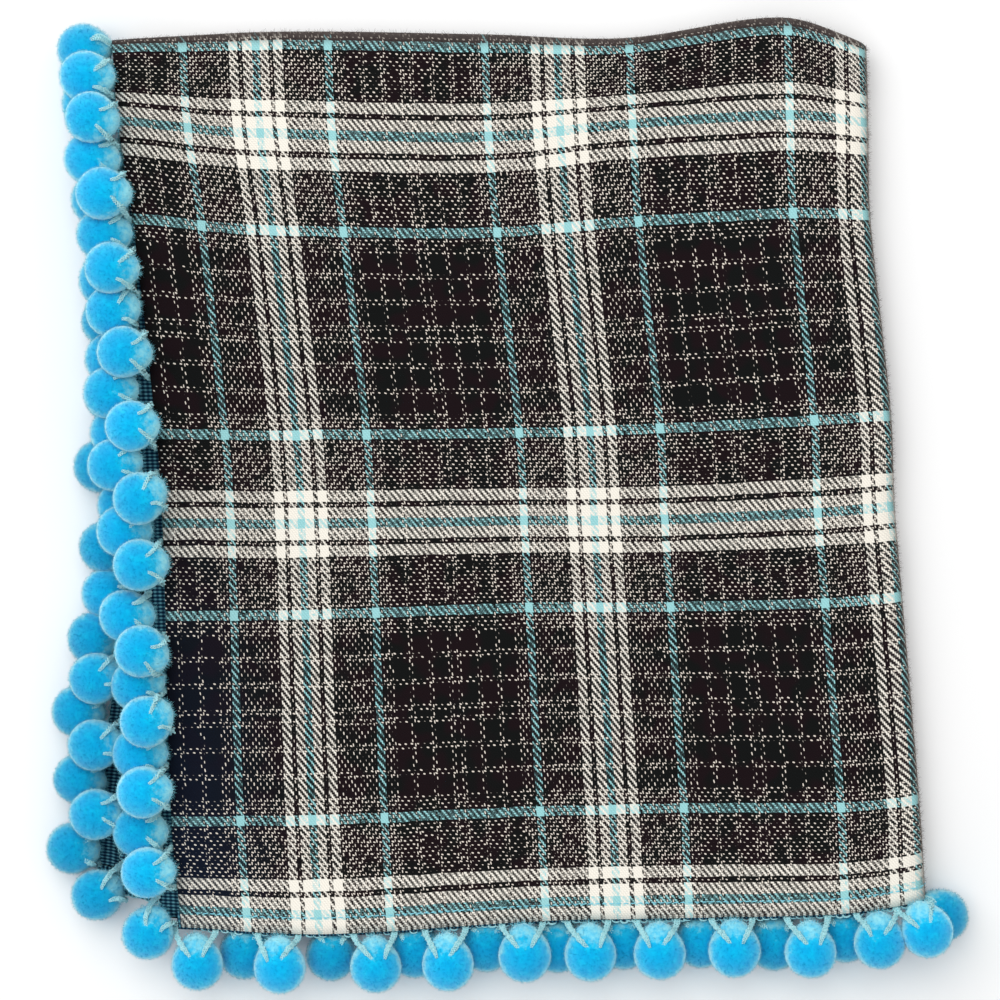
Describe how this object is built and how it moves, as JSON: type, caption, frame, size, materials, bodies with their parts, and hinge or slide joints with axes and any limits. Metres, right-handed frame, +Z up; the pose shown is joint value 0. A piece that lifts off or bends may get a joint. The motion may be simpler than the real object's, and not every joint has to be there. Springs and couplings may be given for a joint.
{
  "type": "folded plaid shuka blanket with pompom trim",
  "caption": "Brushed twill plaid blanket in charcoal, cream and turquoise, folded in half twice and laid flat, with a blue tape and pompoms hung on cord loops along its edges.",
  "frame": {"origin": "centre of the bounding box in plan, at the level of the surface the folded blanket lies on", "axes": "+Z up through the folded stack, +Y towards the first fold at the top, +X towards the second fold at the right"},
  "size_m": [0.468, 0.4958, 0.0546],
  "materials": {
    "brushed_twill": "brushed wool twill, plaid",
    "blue_trim": "fluffy yarn pompoms, cord loops and tape"
  },
  "bodies": {
    "root": {"cloth": "brushed_twill", "trim_left": "blue_trim", "trim_right": "blue_trim", "trim_bottom": "blue_trim"}
  },
  "joints": []
}
